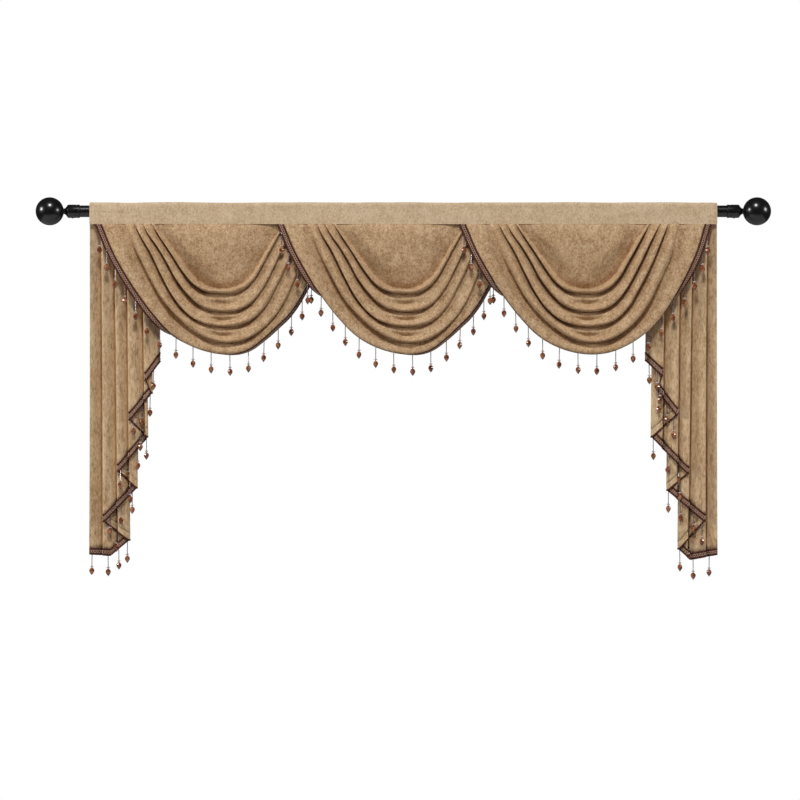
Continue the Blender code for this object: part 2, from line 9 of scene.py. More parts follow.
import bmesh
import bpy
import numpy as np
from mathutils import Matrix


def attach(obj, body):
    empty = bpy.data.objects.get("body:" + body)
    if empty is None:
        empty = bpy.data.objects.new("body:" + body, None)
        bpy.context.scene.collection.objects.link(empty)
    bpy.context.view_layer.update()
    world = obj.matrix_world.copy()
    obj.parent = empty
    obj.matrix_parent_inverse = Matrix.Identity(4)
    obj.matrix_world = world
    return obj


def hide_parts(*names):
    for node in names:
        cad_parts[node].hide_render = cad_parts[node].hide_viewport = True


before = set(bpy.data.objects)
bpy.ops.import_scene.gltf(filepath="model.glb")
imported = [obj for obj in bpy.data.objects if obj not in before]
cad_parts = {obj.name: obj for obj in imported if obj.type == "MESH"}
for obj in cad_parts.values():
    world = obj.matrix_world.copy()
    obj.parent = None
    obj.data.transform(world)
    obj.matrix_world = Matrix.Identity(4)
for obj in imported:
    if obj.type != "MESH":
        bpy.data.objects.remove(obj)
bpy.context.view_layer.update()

MM = 0.001

# Camera: straight on, far enough away to show almost no perspective
FRAME_WIDE = 1.911
CAMERA_FAR = 7.0
CENTRE_X, CENTRE_Z = -0.008, -0.452
SENSOR = 36.0
CLIP_END = 60.0

# Light, as (name, place, size, power), and the ground below
AMBIENT = 0.05
LIT_POINT = (0.0, 0.0, -0.35)
LIGHTS = (
    ("top", (-0.3, -3.9, 4.5), 1.4, 222.0),
    ("left side", (-5.3, -2.1, 1.2), 1.4, 155.0),
    ("right side", (5.4, -1.9, 1.0), 1.4, 105.0),
)
FLOOR_HALF = 3.2
FLOOR_Z = -2.1

# Rod, finials and brackets
ROD_Y = -90.0
ROD_R = 14.0
ROD_WALL = 1.2
ROD_HALF = 775.0
ROD_EDGE = 0.3
FIT_GAP = 0.3
COLLAR_R = 16.0
COLLAR_LONG = 28.0
GROOVE_AT = 7.5
GROOVE_HALF, GROOVE_LIP, GROOVE_IN = 1.2, 0.8, 0.8
NECK_R = 7.0
CHAMFER_LONG = 8.0
BALL_R = 33.6
BALL_X = 847.0
BALL_STEPS = 40
PLUG_LONG = 15.0
SET_SCREW = ((0, 1.5), (2.0, 1.5), (2.0, -0.1), (1.7, -0.5), (0.9, -0.5), (0.9, 0.4), (0, 0.4))
SET_SCREW_IN = 17.0
SET_SCREW_OUT = 0.6
BRACKET_X = 727.0
PLATE_R = 30.0
PLATE_THICK = 5.0
PLATE_Z = -28.0
SCREW_OUT = 19.5
SCREW_HEAD = ((0, 1.9), (1.6, 1.7), (3.1, 0.9), (3.6, 0), (3.6, -1), (0, -1))
SCREW_SIDES = 24
ARM_R = 6.0
ARM_END_Y = -84.0
ARM_BEND_R = 10.0
ARM_SIDES = 32
ARM_IN = 1.2
CRADLE_THICK = 3.5
CRADLE_WIDE = 20.0
CRADLE_FROM, CRADLE_TO = -135.0, 20.0
CRADLE_STEPS = 48
ROUND_STEPS = 96

# Heading
HEADING_HALF = 750.0
CLOTH = 2.0
FRONT_Y = -109.0
FOOT_Z = -31.5
FOOT_TALL = 9.0
FOOT_BACK_Y = -92.0
TOP_Z = 20.5
TOP_R = 7.0
TOP_BACK = 6.0
POCKET_FROM, POCKET_TO = 80, -55
NOTCH_HALF = 700.0
NOTCH_TOP = 8.0
HEADING_COLUMNS = 301
HEADING_FREE = 30.0  # how far above its foot the heading is free to be uneven
HEADING_OUT, HEADING_UP = 0.35, 0.3
HEADING_SEEDS = (71, 72)

# Swags
SWAG_X = -729.8
SWAG_PITCH = 434.9
SWAG_WIDE = 590.0
SWAG_CLOTH = 1.6
HANG_Z = FOOT_Z - 0.6
SEAM_GAP = 0.35
SETTLE = 85.0
FOLDS_SETTLE = 18.0
# The given lines of a swag, as points (across, down) from its left corner: the foot of its
# hollow, the four crests below that, and the hem. Between the crests lies a trough.
TOP_LINE = ((200.0, 0.0), (292.0, 0.0), (385.0, 0.0))
SWAG_LINES = (
    (
        (150, 0), (178, 34), (205, 66), (226, 90), (251, 118), (270, 133), (292, 140),
        (325, 134), (352, 113), (376, 80), (400, 40), (428, 0),
    ),
    (
        (132, 0), (154, 34), (177, 68), (203, 107), (230, 140), (256, 155), (293, 160),
        (325, 158), (348, 148), (370, 128), (394, 88), (422, 39), (445, 0),
    ),
    (
        (110, 0), (124, 24), (146, 54), (169, 91), (188, 126), (212, 158), (242, 187), (268, 200),
        (300, 205), (328, 202), (357, 189), (391, 151), (417, 103), (445, 46), (470, 0),
    ),
    (
        (91, 0), (103, 24), (125, 59), (157, 124), (180, 167), (204, 200), (233, 224), (266, 236),
        (297, 240), (325, 238), (358, 228), (391, 199), (420, 150), (447, 98), (471, 42), (490, 0),
    ),
    (
        (72, 0), (85, 28), (99, 60), (127, 118), (156, 172), (188, 211), (228, 246), (264, 268),
        (301, 279), (348, 273), (388, 250), (424, 212), (446, 176), (470, 122), (492, 70), (512, 0),
    ),
    (
        (9, 0), (37, 66), (72, 128), (106, 179), (146, 229), (180, 263), (210, 283), (254, 301),
        (308, 309.5), (351, 305), (398, 286), (434, 262), (463, 235), (495, 190), (531, 127),
        (557, 73), (580.5, 0),
    ),
)
# The hem's right half on a swag that the next one covers, from after its lowest point
HEM_LOWEST = 8
HEM_COVERED = (
    (335, 307), (358, 299), (395, 272), (430, 239), (452, 217), (466, 199), (500, 142),
    (535, 88), (560, 43), (580.5, 0),
)
# The section of the hollow, as (share of the way down to its foot, forward)
HOLLOW = ((0.0, 0.0), (0.4, -0.3), (0.75, -0.7), (1.0, -1.3))
# The section of each other kind of stretch, as (share of the way down to the next line, forward at
# the sides, forward at the lowest point): the lip below the hollow, the folds, and the hem's fold
LIP = (
    (0.0, -1.25, -1.25),
    (0.3, -1.5, -1.5),
    (0.6, -1.8, -1.8),
    (0.74, -1.75, -1.75),
    (0.82, -1.1, -1.1),
    (0.88, 0.1, 0.1),
    (0.94, 0.8, 0.8),
    (1.0, 1.0, 1.0),
)
FOLD = (
    (0.0, 1.0, 1.0),
    (0.045, 0.86, 0.86),
    (0.075, 0.45, 0.42),
    (0.085, 0.0, -0.05),
    (0.1, -0.5, -0.5),
    (0.135, -0.92, -0.88),
    (0.18, -1.0, -0.85),
    (0.235, -0.8, -0.62),
    (0.3, -0.42, -0.3),
    (0.38, -0.1, 0.02),
    (0.48, 0.2, 0.1),
    (0.6, 0.45, -0.3),
    (0.72, 0.66, -0.42),
    (0.84, 0.84, 0.2),
    (0.94, 0.96, 0.82),
    (1.0, 1.0, 1.0),
)
HEM_FOLD = (
    (0.0, 1.0, 1.0),
    (0.035, 0.86, 0.86),
    (0.06, 0.45, 0.45),
    (0.07, 0.0, 0.0),
    (0.085, -0.5, -0.5),
    (0.12, -1.0, -0.95),
    (0.17, -1.1, -1.0),
    (0.25, -0.8, -0.75),
    (0.36, -0.4, -0.38),
    (0.48, -0.1, -0.12),
    (0.64, 0.18, 0.12),
    (0.82, 0.3, 0.28),
    (0.92, 0.25, 0.25),
    (1.0, 0.1, 0.1),
)
LOW_X, LOW_WIDE = 300.0, 36.0
HOLLOW_ROWS, LIP_ROWS, FOLD_ROWS, HEM_ROWS = 21, 16, 36, 28
SWAG_COLUMNS = 150
HEM_STEPS = 460
LINE_STEPS = 600
SECTION_STEPS = 400
SECTION_LONG = 4  # a section is about four times as long as it is deep
ACROSS = (0.0, 0.12, 0.3, 0.5, 0.62, 0.72, 0.8, 1.0)
# Where the troughs lie in depth at the seam and below it, and half the depth of the folds there
SEWN_COVERED = (-106.6, -106.6, -106.6, -106.6, -105.6, -100.8, -97.6, -97.0)
HUNG_COVERED = (-109.5, -110.0, -109.0, -105.5, -103.5, -98.8, -97.0, -97.5)
DEEP_COVERED = (1.5, 9.5, 11.8, 12.3, 8.5, 5.0, 4.0, 1.5)
SEWN_OPEN = (-106.6,) * 8
HUNG_OPEN = (-109.5, -110.0, -109.0, -105.5, -107.5, -112.0, -113.5, -109.5)
DEEP_OPEN = (1.5, 9.5, 11.8, 12.3, 11.9, 11.3, 10.2, 1.5)
SEWN_DEEP = 1.2
DEEP_LOOSE = 8.0  # folds this deep are free to be uneven
FOLD_UNEVEN, SWAG_UNEVEN = 0.08, 0.55
# Length and height of the waves in the cloths' unevenness
WAVES = ((210.0, 1.0), (120.0, 0.7), (75.0, 0.4), (48.0, 0.22))

# Tails
TAIL_EDGE_X = 753.0
TAIL_CLOTH = 1.3
TAIL_LEFT = (
    # across_top, across_hem, drop, layer
    (3.0, 0.0, 789.0, 0),
    (51.0, 50.0, 793.0, 0),
    (90.0, 96.0, 757.0, 1),
    (32.0, 34.0, 712.0, 2),
    (112.0, 116.0, 631.0, 3),
    (63.0, 69.0, 592.0, 4),
    (136.0, 142.0, 509.0, 5),
    (93.0, 97.0, 468.0, 6),
    (150.0, 153.0, 404.0, 7),
    (130.0, 135.0, 375.0, 8),
    (166.0, 170.0, 328.0, 8),
)
TAIL_RIGHT = (
    (3.0, 0.0, 790.0, 0),
    (60.0, 64.0, 803.0, 0),
    (88.0, 94.0, 778.0, 1),
    (28.0, 30.0, 711.0, 2),
    (118.0, 122.0, 637.0, 3),
    (62.0, 70.0, 597.0, 4),
    (154.0, 160.0, 509.0, 5),
    (92.0, 97.0, 457.0, 6),
    (144.0, 148.0, 397.0, 7),
    (129.0, 133.0, 363.0, 8),
    (168.0, 173.0, 325.0, 8),
)
TAIL_BACK_Y = -100.0
LAYER_TOP = 1.65
LAYER_SPREAD = 0.0053
LAYERS = 8
LEAN_IN = 0.078
TAIL_DRIFT = 20.0 / 800.0**2
FOLD_R = 3.0
TAIL_ROWS = 64
COLUMN_WIDE = 1.5
TAIL_GAP = 0.6
SLANT_MOST = 1.6
RIPPLE, RIPPLE_ACROSS, RIPPLE_DOWN, RIPPLE_FULL = 1.6, 41.0, 260.0, 200.0
# The rows of a tail's table that are outer folds: each column recedes from one to the next
OUTER_FOLDS = (0, 3, 5, 7, 9)
RECEDE_TOP, RECEDE_SPREAD, RECEDE_MOST = 5.0, 0.045, 16.0
RECEDE_EVEN = 0.15
STEP_WIDE, STEP_OUT = 3.5, 0.5
CREASE_DEEP, CREASE_WIDE, CREASE_FULL = 7.0, 2.6, 120.0
TAIL_BULGE = 0.3
FOLD_ANGLES = (-60, -30, 0, 30, 60)

# Braid and bead drops
BRAID_WIDE = 14.0
BRAID_THICK = 1.3
BRAID_LINES = 6
BRAID_STEP, ROOT_STEP = 1.5, 0.5
BORDER_R = 1.8
# The borders, as (share across the braid, height above it, start of the twist)
BORDERS = ((0.07, 0.55, 0.0), (0.97, 0.1, 1.5))
BORDER_STEP = 1.6
BORDER_SIDES = 7
TWIST_PITCH = 4.4
TWIST_SWELL = 0.2
BACK_SLIM = 0.75  # the inner border is sewn down where the braid shows its back
BACK_FULL = 0.3
CORD_R = 0.85
CORD_PITCH = 11.0
CORD_SWING = 0.24
CORD_OVER = 0.35
CORD_SUNK = 0.6
CORD_STEP = 1.25
CORD_SIDES = 6
BASE, BORDER, CORD, BACKING = 0, 1, 2, 3
# How far the braid turns under along each swag's hem, as (share across, degrees)
TURNS = {
    "left": ((0, 0), (0.23, 0), (0.3, 78), (0.36, 85), (0.5, 85), (0.62, 72), (0.75, 62), (1, 62)),
    "middle": ((0, 0), (0.11, 0), (0.17, 85), (0.5, 85), (0.62, 72), (0.75, 62), (1, 62)),
    "right": ((0, 0), (0.11, 0), (0.17, 85), (0.5, 85), (0.84, 85), (0.94, 0), (1, 0)),
}
# Where the braid's inner edge lies below and behind the cloth's edge, at each turn
TURN_STATIONS = (0, 30, 60, 75, 85)
GAP_BELOW = (0.4, 0.9, 1.2, 0.6, -1.2)
GAP_BEHIND = (0.0, 0.3, 1.3, 1.9, 2.1)
ROOT_IN = 2.0
LEAN_BELOW = 32.5
SWAG_DROPS = 20
# Where each tail's drops hang, as shares of the way along each stretch between stations
LEFT_DROPS = (
    (0.14, 0.9),
    (0.45, 0.88),
    (0.5,),
    (0.2, 0.53, 0.85),
    (0.35,),
    (0.1, 0.36, 0.66, 0.95),
    (0.4,),
    (0.2, 0.55, 0.9),
    (),
    (0.6,),
)
RIGHT_DROPS = (
    (0.3, 0.9),
    (0.85,),
    (0.4, 0.88),
    (0.3, 0.64, 0.95),
    (0.6,),
    (0.26, 0.56, 0.94),
    (0.85,),
    (0.5, 0.9),
    (0.5,),
    (0.35, 0.8),
)
BEAD_FRONT_Y = -117.0
BEAD_CLEAR = 6.9
BEAD_BELOW = 39.0
OVER_CLOTH = 0.28
# A drop, as heights below its root and (radius, height) pairs
SEED, SPACER, AMBER = 0, 1, 2
SEED_R, SEED_PITCH, SEED_TALL = 1.45, 2.5, 0.85
SEED_RINGS, SEED_SIDES = 4, 7
STRING_TOP, STRING_FOOT = 1.0, -27.5
SPACER_SECTION = ((0, -27.4), (2.3, -27.7), (4.9, -29.2), (2.3, -30.6), (0, -30.9))
PETALS, PETAL_SIDES = 6, 12
PETAL_FROM, PETAL_MEAN, PETAL_SWING = 4, 0.78, 0.22
AMBER_SECTION = (
    (0, -32.4), (2.6, -32.8), (5.0, -35.0), (6.2, -38.2),
    (6.1, -40.6), (4.0, -45.0), (1.5, -48.2), (0, -48.6),
)
AMBER_SIDES = 8
END_TALL = 0.8
END_BEADS = ((1.5, -31.8), (1.1, -49.0))  # above and below the amber bead
SWAY = 0.012

# Edges sharper than these angles stay sharp
SHARP_BEAD, SHARP_HEADING, SHARP_ROD, SHARP_TURNED = 24, 40, 30, 35

chance = np.random.default_rng(20)


# ---- Shapes ----


class Shape:
    """Gathers points and faces, with the number of each face's finish."""

    def __init__(self):
        self.points = []
        self.faces = []
        self.finishes = []
        self.count = 0

    def add(self, points, faces, finish=0):
        points = np.asarray(points, float).reshape(-1, 3)
        self.points.append(points)
        for face in faces:
            self.faces.append(tuple(int(i) + self.count for i in face))
        self.finishes.extend([finish] * len(faces))
        self.count += len(points)

    def make(self, name, materials, sharp=None):
        mesh = bpy.data.meshes.new(name)
        points = np.concatenate(self.points) * MM
        mesh.from_pydata(points.tolist(), [], self.faces)
        mesh.polygons.foreach_set("material_index", self.finishes)
        mesh.polygons.foreach_set("use_smooth", [True] * len(mesh.polygons))
        work = bmesh.new()
        work.from_mesh(mesh)
        bmesh.ops.recalc_face_normals(work, faces=work.faces)
        work.to_mesh(mesh)
        work.free()
        if sharp:
            mesh.set_sharp_from_angle(angle=math.radians(sharp))
        mesh.update()
        obj = bpy.data.objects.new(name, mesh)
        bpy.context.scene.collection.objects.link(obj)
        for finish in materials:
            mesh.materials.append(finish)
        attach(obj, "root")
        return obj


def grid_faces(rows, columns, round_columns=False, round_rows=False):
    """Faces of a grid of rows x columns points, closed into a ring where asked."""
    faces = []
    for row in range(rows if round_rows else rows - 1):
        below = (row + 1) % rows
        for column in range(columns if round_columns else columns - 1):
            beside = (column + 1) % columns
            faces.append(
                (
                    row * columns + column,
                    below * columns + column,
                    below * columns + beside,
                    row * columns + beside,
                )
            )
    return faces


def unit(vectors):
    return vectors / np.maximum(np.linalg.norm(vectors, axis=-1, keepdims=True), 1e-9)


def tube(shape, path, radii, across, sides, finish):
    """A round cord along a path. across is a direction at each point, off the path's own."""
    path = np.asarray(path, float)
    along = unit(np.gradient(path, axis=0))
    out = unit(across - along * np.sum(across * along, axis=1, keepdims=True))
    beside = np.cross(along, out)
    radii = np.broadcast_to(radii, len(path))
    turn = np.arange(sides) * 2 * math.pi / sides
    ring = (
        out[:, None] * np.cos(turn)[None, :, None]
        + beside[:, None] * np.sin(turn)[None, :, None]
    )
    points = path[:, None] + ring * radii[:, None, None]
    faces = [face[::-1] for face in grid_faces(len(path), sides, round_columns=True)]
    last = (len(path) - 1) * sides
    faces.append(tuple(range(sides)))
    faces.append(tuple(last + k for k in reversed(range(sides))))
    shape.add(points, faces, finish)


def shell(shape, grid, thickness, fronts, backs=None, skip=None):
    """A sheet as a closed shell: a grid of points thickened to both sides. fronts and backs give
    each face's finish, and skip the faces that are left out."""
    grid = np.asarray(grid, float)
    rows, columns = grid.shape[:2]
    down = np.gradient(grid, axis=0)
    right = np.gradient(grid, axis=1)
    normal = unit(np.cross(down, right))
    half = normal * thickness / 2
    size = rows * columns
    front = grid_faces(rows, columns)
    kept = [k for k in range(len(front)) if skip is None or not skip(*divmod(k, columns - 1))]
    edges = {}
    faces, finishes = [], []
    for k in kept:
        face = front[k]
        finish = fronts(*divmod(k, columns - 1)) if callable(fronts) else fronts
        behind = backs(*divmod(k, columns - 1)) if callable(backs) else backs
        faces.append(face)
        finishes.append(finish)
        faces.append(tuple(i + size for i in reversed(face)))
        finishes.append(finish if behind is None else behind)
        for a, b in zip(face, face[1:] + face[:1]):
            if (b, a) in edges:
                del edges[(b, a)]
            else:
                edges[(a, b)] = finish
    for (a, b), finish in edges.items():
        faces.append((b, a, a + size, b + size))
        finishes.append(finish)
    points = np.concatenate([(grid + half).reshape(-1, 3), (grid - half).reshape(-1, 3)])
    used = np.unique([i for face in faces for i in face])
    place = np.full(len(points), -1)
    place[used] = np.arange(len(used))
    for face, finish in zip(faces, finishes):
        shape.faces.append(tuple(int(place[i]) + shape.count for i in face))
        shape.finishes.append(finish)
    shape.points.append(points[used])
    shape.count += len(used)


def smooth_table(at, stations, values):
    """The value at a place in a table of stations, on a smooth curve through them."""
    xs = np.array(stations, float)
    ys = np.array(values, float)
    slopes = np.gradient(ys, xs)
    k = np.clip(np.searchsorted(xs, at) - 1, 0, len(xs) - 2)
    wide = xs[k + 1] - xs[k]
    t = np.clip((at - xs[k]) / wide, 0, 1)
    blend = t * t * (3 - 2 * t)
    return (
        ys[k] * (1 - blend)
        + ys[k + 1] * blend
        + wide * t * (1 - t) * ((1 - t) * slopes[k] - t * slopes[k + 1])
    )


def ease(t):
    t = np.clip(t, 0, 1)
    return t * t * (3 - 2 * t)


def section(points, count):
    """count places evenly along a smooth curve through a section's points."""
    points = np.array(points)
    at = np.arange(len(points))
    fine = np.linspace(0, len(points) - 1, SECTION_STEPS)
    curve = np.stack([smooth_table(fine, at, points[:, k]) for k in range(3)], axis=1)
    steps = np.hypot(np.diff(curve[:, 0]) * SECTION_LONG, np.diff(curve[:, 1]))
    along = np.concatenate([[0], np.cumsum(steps)])
    places = np.linspace(0, along[-1], count + 1)
    return np.stack([np.interp(places, along, curve[:, k]) for k in range(3)], axis=1)


# ---- Swags ----


def fold_line(points, columns):
    """Points evenly along a smooth line through the given points, as (across, down)."""
    points = np.array(points, float)
    far = np.concatenate([[0], np.cumsum(np.hypot(*np.diff(points, axis=0).T))])
    fine = np.linspace(0, far[-1], LINE_STEPS + 1)
    curve = np.stack([smooth_table(fine, far, points[:, k]) for k in range(2)], axis=1)
    along = np.concatenate([[0], np.cumsum(np.hypot(*np.diff(curve, axis=0).T))])
    at = np.linspace(0, along[-1], columns + 1)
    return np.stack([np.interp(at, along, curve[:, k]) for k in range(2)], axis=1)


def swag_lines(covered):
    """A swag's given lines, with its own hem where the next swag covers it."""
    lines = list(SWAG_LINES)
    if covered:
        lines[-1] = lines[-1][: HEM_LOWEST + 1] + HEM_COVERED
    return lines


def swag_rows(covered):
    """A swag's grid by rows, as (points, forward at the sides, forward at the lowest point)."""
    lines = [fold_line(points, SWAG_COLUMNS) for points in (TOP_LINE, *swag_lines(covered))]
    tables = [(LIP, LIP_ROWS), *[(FOLD, FOLD_ROWS)] * 3, (HEM_FOLD, HEM_ROWS)]
    rows = []
    for share in np.arange(HOLLOW_ROWS) / HOLLOW_ROWS:
        forward = smooth_table(share, *zip(*HOLLOW))
        rows.append((lines[0] + (lines[1] - lines[0]) * share, forward, forward))
    for start, end, (table, count) in zip(lines[1:], lines[2:], tables):
        for share, beside, low in section(table, count)[:-1]:
            rows.append((start + (end - start) * share, beside, low))
    rows.append((lines[-1], HEM_FOLD[-1][1], HEM_FOLD[-1][2]))
    return rows


def waves(across, down, seed):
    """Soft unevenness in depth, the same for the same seed."""
    draws = np.random.default_rng(seed)
    total = 0 * across
    for length, tall in WAVES:
        for _ in range(2):
            turn = draws.uniform(0, math.pi)
            start = draws.uniform(0, 2 * math.pi)
            way = across * math.cos(turn) + down * math.sin(turn)
            total = total + tall * np.sin(way * 2 * math.pi / length + start)
    return total


def swag_grid(covered, seed):
    """A swag's sheet as a grid of (across, y, down)."""
    grid = []
    for flat, beside, low in swag_rows(covered):
        across, down = flat[:, 0], flat[:, 1]
        forward = beside + (low - beside) * np.exp(-(((across - LOW_X) / LOW_WIDE) ** 2))
        share = across / SWAG_WIDE
        sewn = smooth_table(share, ACROSS, SEWN_COVERED if covered else SEWN_OPEN)
        hung = smooth_table(share, ACROSS, HUNG_COVERED if covered else HUNG_OPEN)
        deep = smooth_table(share, ACROSS, DEEP_COVERED if covered else DEEP_OPEN)
        settled = ease(down / SETTLE)
        forward = np.maximum(forward, -1) + np.minimum(forward + 1, 0) * settled
        folded = SEWN_DEEP + (deep - SEWN_DEEP) * (1 - np.exp(-down / FOLDS_SETTLE))
        uneven = waves(across, down, seed)
        loose = np.minimum(1, deep / DEEP_LOOSE) * settled
        uneven_folds = FOLD_UNEVEN * waves(across, down, seed + 1) * loose
        y = (
            sewn
            + (hung - sewn) * settled
            - folded * (1 + forward * (1 + uneven_folds))
            + SWAG_UNEVEN * uneven * loose
        )
        grid.append(np.stack([across, y, down], axis=1))
    return np.array(grid)


def swag_braid(hem, side):
    """The braid's inner and outer line along a swag's hem: it lies flat beside the cloth at the
    sides, and turns under at the foot."""
    tangent = np.gradient(hem[:, [0, 2]], axis=0)
    tangent /= np.linalg.norm(tangent, axis=1)[:, None]
    out = np.stack([-tangent[:, 1], tangent[:, 0]], axis=1)
    degrees = np.interp(hem[:, 0] / SWAG_WIDE, *zip(*TURNS[side]))
    turn = np.radians(degrees)
    # Level ends, as wide as the slanting braid is where it meets the heading
    out[0] = (-1 / abs(out[0, 0]), 0)
    out[-1] = (1 / abs(out[-1, 0]), 0)
    below = np.interp(degrees, TURN_STATIONS, GAP_BELOW)
    behind = np.interp(degrees, TURN_STATIONS, GAP_BEHIND)
    far_below = below + BRAID_WIDE * np.cos(turn)
    far_behind = behind + BRAID_WIDE * np.sin(turn)
    inner, outer = hem.copy(), hem.copy()
    for line, across, deep in ((inner, below, behind), (outer, far_below, far_behind)):
        line[:, 0] += out[:, 0] * across
        line[:, 2] += out[:, 1] * across
        line[:, 1] += deep
    return inner, outer


def placed(points, left_x):
    """Swag points as (x, y, z)."""
    points = np.asarray(points)
    return np.stack(
        [points[..., 0] + left_x, points[..., 1], HANG_Z - points[..., 2]], axis=-1
    )


def resample(line, step):
    """The same line with points evenly along it."""
    far = np.concatenate([[0], np.cumsum(np.linalg.norm(np.diff(line, axis=0), axis=1))])
    at = np.linspace(0, far[-1], max(2, round(far[-1] / step)) + 1)
    return np.stack([np.interp(at, far, line[:, k]) for k in range(line.shape[1])], axis=1)


# ---- Tails ----


def column_depth(across, down, table):
    """How far back a tail's column lies: it recedes from its outer fold towards the next one, ends
    in a narrow crease, and comes forward again in a short step."""
    lines = []
    for k in OUTER_FOLDS:
        top, hem, drop = table[k][:3]
        lines.append(top + (hem - top) * down / drop)
    lines.append(table[-1][1] + STEP_WIDE + STEP_OUT)
    k = max(0, min(len(lines) - 2, int(np.searchsorted(lines, across, side="right")) - 1))
    share = max(0.0, (across - lines[k]) / (lines[k + 1] - lines[k]))
    most = min(RECEDE_MOST, RECEDE_TOP + RECEDE_SPREAD * down)
    end = lines[k + 1] - STEP_OUT - STEP_WIDE
    step = ease((across - end) / STEP_WIDE)
    beside = (across - end) / CREASE_WIDE
    crease = CREASE_DEEP * ease(down / CREASE_FULL) * math.exp(-(beside**2))
    recede = most * (RECEDE_EVEN * share + (1 - RECEDE_EVEN) * share**2)
    return (recede + crease) * (1 - step)


def tail_depth(across, down, layer, table):
    """Where a layer of a tail lies in depth."""
    spread = LAYER_SPREAD * down
    wave = math.sin(across / RIPPLE_ACROSS + down / RIPPLE_DOWN)
    ripple = RIPPLE * wave * min(1, down / RIPPLE_FULL)
    return (
        TAIL_BACK_Y
        + LEAN_IN * across
        + LAYERS * spread
        - TAIL_DRIFT * down**2
        - layer * (LAYER_TOP + spread)
        + ripple
        + column_depth(across, down, table)
    )


def braid_heights(table):
    """How tall the slanting braid stands at each station of a tail's hem."""
    steps = [
        math.hypot(end[1] - start[1], end[2] - start[2]) / abs(end[1] - start[1])
        for start, end in zip(table, table[1:])
    ]
    slants = [min(SLANT_MOST, step) for step in steps]
    pairs = zip([slants[0], *slants], [*slants, slants[-1]])
    return [BRAID_WIDE * (before + after) / 2 for before, after in pairs]


def tail_columns(table):
    """The tail's columns, as (across_top, across_hem, drop, layer, braid_tall), with each fold
    turned in a half circle."""
    columns = []
    heights = braid_heights(table)
    for k in range(len(table) - 1):
        start, end = table[k], table[k + 1]
        turn = FOLD_R / abs(end[1] - start[1])
        folds_before = k > 0 and table[k - 1][3] != start[3]
        folds_after = k + 2 < len(table) and start[3] != end[3]
        first = turn if folds_before else 0.0
        last = 1 - turn if folds_after else 1.0
        count = max(4, round(abs(end[1] - start[1]) / COLUMN_WIDE))
        shares = np.linspace(first, last, count)
        if k > 0 and not folds_before:
            shares = shares[1:]
        bulge = TAIL_BULGE * (-1 if start[3] % 2 else 1)
        for share in shares:
            level = (share - first) / (last - first)
            places = [start[n] + (end[n] - start[n]) * share for n in range(2)]
            drop = start[2] + (end[2] - start[2]) * level
            tall = heights[k] + (heights[k + 1] - heights[k]) * level
            round_out = bulge * math.sin(math.pi * share) if folds_before and folds_after else 0
            columns.append([*places, drop, start[3] + round_out, tall])
        if folds_after:
            way = math.copysign(FOLD_R, end[1] - start[1])
            for angle in FOLD_ANGLES:
                back = way * (1 - math.cos(math.radians(angle)))
                layer = start[3] + 0.5 + 0.5 * math.sin(math.radians(angle))
                columns.append([end[0] - back, end[1] - back, end[2], layer, heights[k + 1]])
    return columns


def tail_point(column, down, sign, table):
    top, hem, drop, layer = column[:4]
    across = top + (hem - top) * down / drop
    y = tail_depth(across, down, layer, table)
    return (sign * (TAIL_EDGE_X - across), y, HANG_Z - down)


def tail_roots(table, places, sign):
    """Where a tail's drops leave its braid, and how far forward each bead hangs."""
    roots = []
    for k, shares in enumerate(places):
        start, end = table[k], table[k + 1]
        for share in shares:
            column = [start[m] + (end[m] - start[m]) * share for m in range(3)]
            column.append(start[3])
            x, y, z = tail_point(column, column[2] - ROOT_IN, sign, table)
            bead = column[2] + BEAD_BELOW
            bead_y = tail_depth(column[1], bead, start[3], table)
            if start[3] > 0:
                pitch = LAYER_TOP + LAYER_SPREAD * bead
                bead_y -= max(0.0, BEAD_CLEAR - pitch)
            roots.append((x, y, z - ROOT_IN, bead_y))
    return roots


# ---- Braid and bead drops ----


def add_braid(shape, inner, outer, front_sign):
    """A woven braid between two lines: a dark strip backed with cloth, a twisted cord along each
    border, and two light cords crossing between them."""
    across = outer - inner
    along = np.gradient((inner + outer) / 2, axis=0)
    front = front_sign * unit(np.cross(across, along))
    strip = np.stack([inner + across * share for share in np.linspace(0, 1, BRAID_LINES)])
    if front_sign < 0:
        strip = strip[:, ::-1]
    strip_rows = strip.shape[0] - 1

    def behind(row, column):
        return BASE if row == strip_rows - 1 else BACKING

    shell(shape, strip, BRAID_THICK, BASE, behind)

    def line_at(share, step):
        """A line along the braid: its points, its front, the way across and how far along."""
        data = resample(np.concatenate([inner + across * share, front, across], axis=1), step)
        far = np.concatenate(
            [[0], np.cumsum(np.linalg.norm(np.diff(data[:, :3], axis=0), axis=1))]
        )
        return data[:, :3], unit(data[:, 3:6]), data[:, 6:9], far

    for share, height, phase in BORDERS:
        path, up, _, far = line_at(share, BORDER_STEP)
        swell = 1 + TWIST_SWELL * np.sin(far * 2 * math.pi / TWIST_PITCH + phase)
        if share < 0.5:
            swell *= 1 - BACK_SLIM * ease(up[:, 1] / BACK_FULL)
        tube(shape, path + up * height, BORDER_R * swell, up, BORDER_SIDES, BORDER)
    for phase in (0.0, math.pi):
        path, up, wide, far = line_at(0.5, CORD_STEP)
        swing = np.sin(far * 2 * math.pi / CORD_PITCH + phase)
        over = np.cos(far * math.pi / CORD_PITCH * 2 + phase) * CORD_OVER
        path = path + wide * (CORD_SWING * swing)[:, None]
        path = path + up * (BRAID_THICK / 2 + CORD_R * CORD_SUNK + over)[:, None]
        tube(shape, path, CORD_R, up, CORD_SIDES, CORD)


